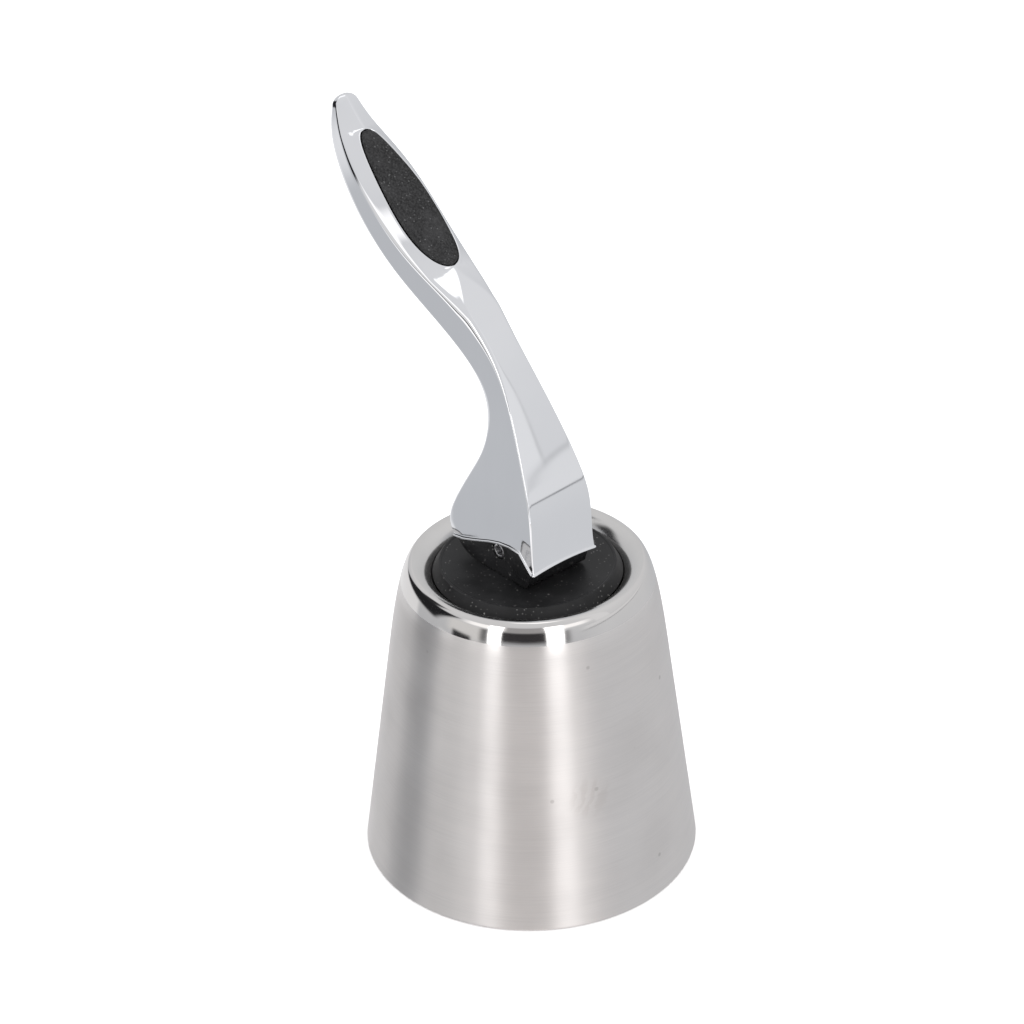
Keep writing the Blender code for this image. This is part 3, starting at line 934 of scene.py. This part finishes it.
def lever_casting(plate):
    skin = Skin()
    skirt = foot_places(skirt_height, 2.0)
    edge = [lever_ring(place)[column] for column, place in enumerate(skirt)]
    first = skin.ring(foot_ring(skirt, edge, 0))
    below = first
    for row in range(1, FOOT_ROWS + 1):
        below = skin.grow(below, foot_ring(skirt, edge, (row / FOOT_ROWS) ** 2))
    foot_pocket(skin, first)

    patch = patch_places()
    for place in even_places(FOOT_TOP, patch[0])[1:]:
        below = skin.grow(below, lever_ring(place))
    border = [below]
    for place in patch[1:]:
        below = skin.grow(below, lever_ring(place), range(EDGE_END, COLUMNS - EDGE_END))
        border.append(below)
    recess(skin, patch, border)
    for place in even_places(patch[-1], LAST_STATION)[1:]:
        below = skin.grow(below, lever_ring(place))
    tip(skin, below)
    points = [point + PIVOT for point in skin.points]
    piece = mesh_piece("lever_casting", points, skin.faces, "lever", "lever_shell", [plate])
    slot = [(-12, -3), (-5, -3), (-5, EYE_ROOM), (-12, EYE_ROOM)]
    combine(piece, "DIFFERENCE", [prism_tool("rod_slot", slot, EYE_HALF_ROOM)])


def apron_share(point, out):
    """The slight flare above the bead leaves out the sides' low corners at the toe."""
    return 1 - eased_share((point.x - 4.6) / 1.2) * (1 - eased_share((out.x - 0.3) / 0.4))


def bead_share(out):
    """The bead under the foot's sides and front fades out towards its back."""
    return 1 - eased_share((-out.x - 0.2) / 0.6)


def foot_pocket(skin, first):
    """Rolls the bead's edge under and runs the pocket's wall up to its roof."""
    edge = [skin.points[i].copy() for i in first]
    out = ring_normals(edge)
    up = Vector((0, 0, 1))
    tilt = Vector((math.cos(BEAD_TILT), math.sin(BEAD_TILT))) * BEAD_RADIUS
    middles = [p - n * tilt.x - up * tilt.y for p, n in zip(edge, out)]
    below = first
    for i in range(1, 9):
        turn = BEAD_TILT - (BEAD_TILT + math.pi / 2) * i / 8
        reach, drop = BEAD_RADIUS * math.cos(turn), BEAD_RADIUS * math.sin(turn)
        below = skin.grow(below, [p + n * reach + up * drop for p, n in zip(middles, out)])
    wall = skin.grow(below, [p - n * FOOT_WALL + up * WALL_FOOT for p, n in zip(edge, out)])
    roof_places = foot_places(lambda x, y, half_width: POCKET_ROOF, 3.0)
    ring = [lever_ring(place)[column] for column, place in enumerate(roof_places)]
    roof = skin.grow(wall, [p - n * FOOT_WALL for p, n in zip(ring, ring_normals(ring))])
    skin.close(roof)


def recess(skin, patch, border):
    """The front face round the leaf-shaped recess, its rounded lip, its wall and its floor."""
    boundary = patch_boundary(patch)
    below = []
    for across, place in boundary:
        column = FRONT_MIDDLE + round(across * FACE_STEPS)
        below.append(border[patch.index(place)][column % COLUMNS])
    leaf = leaf_loop(boundary)
    for blend in PATCH_BLEND:
        below = skin.grow(below, [
            face_point(a + (c - a) * blend, b + (d - b) * blend) for (a, b), (c, d) in zip(leaf, boundary)
        ])
    frames = loop_frames(leaf)
    for i in range(1, 6):
        angle = math.pi / 2 * i / 5
        below = skin.grow(below, [
            point + inwards * RECESS_LIP * math.sin(angle) - normal * RECESS_LIP * (1 - math.cos(angle))
            for point, normal, inwards in frames
        ])
    floor = [point + inwards * RECESS_LIP - normal * RECESS_DEPTH for point, normal, inwards in frames]
    skin.close(skin.grow(below, floor))


def tip(skin, below):
    """A rounded end that carries on the taper of the last stations."""
    last = [skin.points[i].copy() for i in below]
    centre = sum(last, Vector()) / len(last)
    earlier = lever_ring(LAST_STATION - 0.1)
    run = (centre - sum(earlier, Vector()) / len(earlier)).normalized()
    base = math.cos(TIP_START)
    steps = 8
    for i in range(1, steps):
        angle = TIP_START + (math.pi / 2 - TIP_START) * i / steps
        scale = math.cos(angle) / base
        along = TIP_RADIUS * (math.sin(angle) - math.sin(TIP_START))
        below = skin.grow(below, [centre + (point - centre) * scale + run * along for point in last])
    skin.close(below)


def grip_pad(rubber):
    """The inlay: a rolled edge just below the lever's face, and a crowned, slightly uneven top."""
    skin = Skin()
    leaf = leaf_loop(patch_boundary(patch_places()))
    frames = loop_frames(leaf)
    inset = RECESS_LIP + PAD_GAP
    below = skin.ring([p + inwards * inset - n * (RECESS_DEPTH - 0.1) for p, n, inwards in frames])
    skin.close(below)
    first_uneven = len(skin.points)
    for angle in np.linspace(0, math.pi / 2, 7):
        reach = inset + PAD_ROLL * (1 - math.cos(angle))
        depth = PAD_SINK + PAD_ROLL * (1 - math.sin(angle))
        below = skin.grow(below, [p + inwards * reach - n * depth for p, n, inwards in frames])
    rim = [skin.points[i].copy() for i in below]
    for i in range(1, PAD_RINGS + 1):
        share = i / PAD_RINGS
        ring = []
        for start, (across, place) in zip(rim, leaf):
            spine = min(max(place, LEAF_FROM + SPINE_START), LEAF_TO - SPINE_END)
            straight = start.lerp(face_point(0.0, spine), share)
            under = (across * (1 - share) * PAD_REACH, place + (spine - place) * share)
            normal = face_normal(*under)
            height = (face_point(*under) - straight).dot(normal)
            ring.append(straight + normal * (height - PAD_SINK * (1 - share) + PAD_CROWN * share))
        below = skin.grow(below, ring)
    for index in range(first_uneven, len(skin.points)):
        point = skin.points[index]
        grain = noise.noise(point * 5.5) * 0.6 + noise.noise(point * 11) * 0.4
        skin.points[index] = point + Vector((0.76, 0, 0.65)) * grain * PAD_GRAIN
    points = [point + PIVOT for point in skin.points]
    mesh_piece("grip_pad", points, skin.faces, "lever", "grip_inlay", [rubber])


def cam_outline():
    """The cam insert's outline from its front lip, along the rolling edge, to the heel and back."""
    turn = math.radians(joint("lever_pivot")["range_deg"][1])
    rate = ROD_LIFT / turn
    points = [(6.25, -0.85), (5.55, 0.3 - CAM_DROP), (5.2, -CAM_DROP)]
    for i in range(25):
        angle = math.radians(48) * i / 24
        height = CAM_DROP + rate * angle
        points.append((
            -math.sin(angle) * height - math.cos(angle) * rate,
            -math.cos(angle) * height + math.sin(angle) * rate,
        ))
    points += [(-7.2, -1.45), (-6.2, -1.12), (-2.2, 0.33), (-0.9, 0.86)]
    points += [(0.0, 1.14), (1.7, 1.55), (3.6, 1.76), (4.8, 1.66), (5.3, 1.15), (5.5, -0.85)]
    return points


def cam_insert(black):
    """The cam block under the foot, with a core that fills the pocket, the eye's room and the pin's bore."""
    points, faces = prism_mesh(cam_outline(), CAM_HALF_DEPTH)
    block = mesh_piece("cam_insert", points, faces, "lever", "cam_block", [black])
    core = [(5.5, -0.6), (5.5, 0.3 - CAM_DROP), (5.2, -CAM_DROP), (-4.4, -CAM_DROP), (-7.4, -1.5)]
    core += [(-7.4, 2.1), (-5.7, 6.1), (4.9, 6.1), (5.4, 2.4)]
    combine(block, "UNION", [prism_tool("cam_core", core, 3.85)])
    fork = [(EYE_ROOM, -6), (EYE_ROOM, 0)]
    fork += arc(EYE_ROOM, np.linspace(0.15, math.pi / 2, 8))
    fork += [(-10, EYE_ROOM), (-10, -6)]
    bore = arc(PIN_RADIUS + 0.12, [math.tau * i / 48 for i in range(48)])
    combine(block, "DIFFERENCE", [prism_tool("fork", fork, EYE_HALF_ROOM), prism_tool("pin_bore", bore, 8)])
    bevel(block, 0.14, 3)


def spring_pin(steel):
    """A rolled pin: its slit faces up and back, and its ends are eased."""
    slit = math.radians(14)
    slit_place = math.radians(100)
    turns = [slit_place + slit + (math.tau - 2 * slit) * i / 40 for i in range(41)]
    outline = arc(PIN_RADIUS, turns) + arc(PIN_RADIUS - PIN_WALL, turns[::-1])
    points, faces = prism_mesh(outline, PIN_REACH)
    pin = mesh_piece("spring_pin", points, faces, "lever", "pivot_pin", [steel])
    bevel(pin, 0.08, 2)


# Hidden stack


def stopper_plug(rubber):
    """Three lobes with shallow waists."""
    radius = extent("plug")[1].x
    lobes = 3
    height = (PLUG_TOP - PLUG_BOTTOM) / lobes
    corners = [(2.4, PLUG_TOP, 0.2), (radius - 0.9, PLUG_TOP, 0.25)]
    for i in range(lobes):
        top = PLUG_TOP - height * i
        corners += [(radius - 0.6, top - 0.25, 0.2), (radius, top - 1.3, 0.8)]
        corners += [(radius, top - height + 1.3, 0.8)]
    corners += [(radius - 0.9, PLUG_BOTTOM, 0.25), (2.4, PLUG_BOTTOM, 0.2)]
    plug = turned_piece("stopper_plug", eased(corners), "bell", "plug", [rubber])
    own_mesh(plug)


def neck_gasket(rubber):
    """Flat ring with three fine sealing beads on its lower face."""
    low, high = extent("lip_gasket")
    inner, outer = 11.1, high.x
    corners = [(inner, high.z, 0.3), (outer, high.z, 0.3), (outer, low.z, 0.3)]
    for i in range(3):
        middle = outer - 1.2 - i * 1.15
        corners += [(middle + 0.45, low.z, 0.1), (middle, low.z + 0.28, 0.15), (middle - 0.45, low.z, 0.1)]
    corners += [(inner, low.z, 0.3)]
    turned_piece("neck_gasket", eased(corners), "bell", "lip_gasket", [rubber], 160)


def thrust_washer(name, node, body, steel):
    low, high = extent(node)
    corners = [(2.5, high.z, 0.12), (high.x, high.z, 0.3), (high.x, low.z, 0.15), (2.5, low.z, 0.12)]
    turned_piece(name, eased(corners), body, node, [steel])


def tip_cap(black):
    """The blunt cap that leads the plug into the neck, with a ring groove and a gate mark on its face."""
    low, high = extent("end_cap")
    radius = high.x
    face = low.z
    corners = [(radius, high.z, 0.2), (radius, face + 0.4, 2.0), (6.1, face, 0.3), (5.8, face + 0.25, 0.1)]
    corners += [(5.3, face + 0.25, 0.1), (5.0, face, 0.1), (1.3, face, 0.1), (1.0, face + 0.2, 0.1)]
    corners += [(0.0, face + 0.2, 0), (0.0, 1.3, 0), (4.6, 1.3, 0.2), (4.6, high.z, 0.2)]
    turned_piece("tip_cap", eased(corners), "rod", "end_cap", [black])


def finish_cad_nodes(black, rubber, steel, bush):
    """The CAD nodes that are shown as they are get their materials."""
    steel_nodes = ("pull_rod", "lock_washer", "lock_nut", "core_screw_1", "core_screw_2", "core_screw_3")
    finishes = dict.fromkeys(steel_nodes, steel)
    finishes |= {"core_body": black, "guide_bush": bush, "rod_o_ring": rubber}
    for name, finish in finishes.items():
        node = frame["nodes"][name]
        node.data.materials.clear()
        node.data.materials.append(finish)


# Studio


def towards(azimuth, elevation):
    """Unit vector from the object: azimuth 0 is -Y and 90 is +X."""
    return Vector((
        math.sin(azimuth) * math.cos(elevation),
        -math.cos(azimuth) * math.cos(elevation),
        math.sin(elevation),
    ))


def camera():
    lens = bpy.data.cameras.new("studio_camera")
    lens.lens = LENS
    lens.sensor_width = 36
    lens.clip_start = 0.01
    lens.clip_end = 20
    made = linked("studio_camera", lens)
    back = towards(VIEW_AZIMUTH, VIEW_ELEVATION)
    turn = back.to_track_quat("Z", "Y").to_matrix() @ Matrix.Rotation(VIEW_ROLL, 3, "Z")
    made.matrix_world = Matrix.Translation((VIEW_TARGET + back * VIEW_DISTANCE) * MM) @ turn.to_4x4()
    bpy.context.scene.camera = made


def floor():
    paint = Paint("floor_paper", Roughness=0.9)
    fibre = paint.noise(paint.position(), 900, 4.0)
    paint.set("Base Color", paint.mix(fibre, (0.92, 0.92, 0.92), (0.94, 0.94, 0.94)))
    output = paint.tree.nodes["Material Output"]
    clear = paint.node("BsdfTransparent")
    sides = paint.node("MixShader", {
        0: paint.node("NewGeometry").outputs["Backfacing"],
        1: output.inputs["Surface"].links[0].from_socket,
        2: clear.outputs[0],
    })
    paint.put(output.inputs["Surface"], sides.outputs[0])
    corners = [(x * FLOOR_REACH, y * FLOOR_REACH, 0) for x, y in ((-1, -1), (1, -1), (1, 1), (-1, 1))]
    mesh = mesh_from("floor", corners, [(0, 1, 2, 3)])
    mesh.materials.append(paint.material)
    paper = linked("floor", mesh)
    paper.visible_glossy = False


def dome_material():
    """What the metals reflect: a pale room with a brighter table in front and a dark gap above it."""
    paint = Paint("studio_dome")
    paint.material.cycles.emission_sampling = "NONE"
    paint.tree.nodes.clear()
    output = paint.node("OutputMaterial")
    light = paint.node("Emission")
    direction = paint.node("VectorMath", {0: paint.position()}, operation="NORMALIZE").outputs[0]
    elevation = paint.times(paint.math("ARCSINE", paint.axes(direction)[2]), 180 / math.pi)
    front = towards(VIEW_AZIMUTH, 0)
    side = Vector((math.cos(VIEW_AZIMUTH), math.sin(VIEW_AZIMUTH), 0))
    forward, right = [
        paint.node("VectorMath", {0: direction, 1: line}, operation="DOT_PRODUCT").outputs["Value"]
        for line in (front, side)
    ]
    bearing = paint.times(paint.math("ARCTAN2", right, forward), 180 / math.pi)

    def window(value, low, high, soft):
        rise = paint.ramp(value, low - soft, low + soft)
        fall = paint.ramp(value, high - soft, high + soft, 1.0, 0.0)
        return paint.times(rise, fall)

    def patch(below, colour, sides, ends, soft_side, soft_end, share=1.0):
        area = paint.times(window(bearing, *sides, soft_side), window(elevation, *ends, soft_end))
        return paint.mix(paint.times(area, share), below, colour)

    base = paint.mix(paint.ramp(elevation, -30, 55), (0.57, 0.58, 0.60), (0.80, 0.80, 0.81))
    for row in ROOM:
        base = patch(base, *row)
    slanted = paint.math("SUBTRACT", bearing, paint.times(elevation, 0.8))
    side_gap = paint.times(window(slanted, -140, -84, 4), window(elevation, -3, 25, 2))
    base = paint.mix(side_gap, base, (0.02, 0.02, 0.022))
    for row in NEAR_ROOM:
        base = patch(base, *row)
    paint.put(light.inputs["Color"], base)
    paint.put(output.inputs["Surface"], light.outputs[0])
    return paint.material


def dome():
    """A sphere that only reflections see."""
    build = bmesh.new()
    bmesh.ops.create_uvsphere(build, u_segments=96, v_segments=48, radius=DOME_REACH * MM)
    mesh = bpy.data.meshes.new("studio_dome")
    build.to_mesh(mesh)
    build.free()
    mesh.shade_smooth()
    mesh.materials.append(dome_material())
    made = linked("studio_dome", mesh)
    for use in ("camera", "diffuse", "shadow", "transmission"):
        setattr(made, "visible_" + use, False)


def strip_light(name, bearing, elevation, distance, width, height, radiance):
    """A tall softbox that faces the object."""
    lamp = bpy.data.lights.new(name, "AREA")
    lamp.shape = "RECTANGLE"
    lamp.size = width * MM
    lamp.size_y = height * MM
    lamp.energy = radiance * math.pi * lamp.size * lamp.size_y
    made = linked(name, lamp)
    back = towards(VIEW_AZIMUTH + math.radians(bearing), math.radians(elevation))
    middle = Vector((0, 0, 35)) + back * distance
    made.matrix_world = Matrix.Translation(middle * MM) @ back.to_track_quat("Z", "Y").to_matrix().to_4x4()
    made.visible_camera = False


def studio():
    scene = bpy.context.scene
    scene.view_settings.view_transform = "Standard"
    world = bpy.data.worlds.new("studio_world")
    world.use_nodes = True
    sky = world.node_tree.nodes["Background"]
    sky.inputs["Color"].default_value = (1, 1, 1, 1)
    sky.inputs["Strength"].default_value = 1.6
    world.cycles_visibility.glossy = False
    scene.world = world
    strip_light("left_softbox", -29.0, 14, 700, 148, 480, 1.65)
    strip_light("right_softbox", 22, 14, 700, 190, 480, 1.9)


def main():
    black = moulded_black()
    cam_black = moulded_black("cam_black", (0.008, 0.008, 0.0085), 0.36)
    hidden_black = moulded_black("core_black", (0.02, 0.02, 0.021), 0.5, dusty=False)
    rubber = seal_rubber()
    steel = turned_steel()

    bell(brushed_steel(), polished_steel(), lip_steel(), drawn_steel())
    top_disc(black)
    lever_casting(chrome())
    grip_pad(grip_rubber())
    cam_insert(cam_black)
    spring_pin(steel)
    stopper_plug(rubber)
    neck_gasket(rubber)
    thrust_washer("thrust_washer_upper", "upper_washer", "bell", steel)
    thrust_washer("thrust_washer_lower", "lower_washer", "rod", steel)
    tip_cap(hidden_black)
    finish_cad_nodes(hidden_black, rubber, steel, acetal())

    camera()
    floor()
    dome()
    studio()


main()
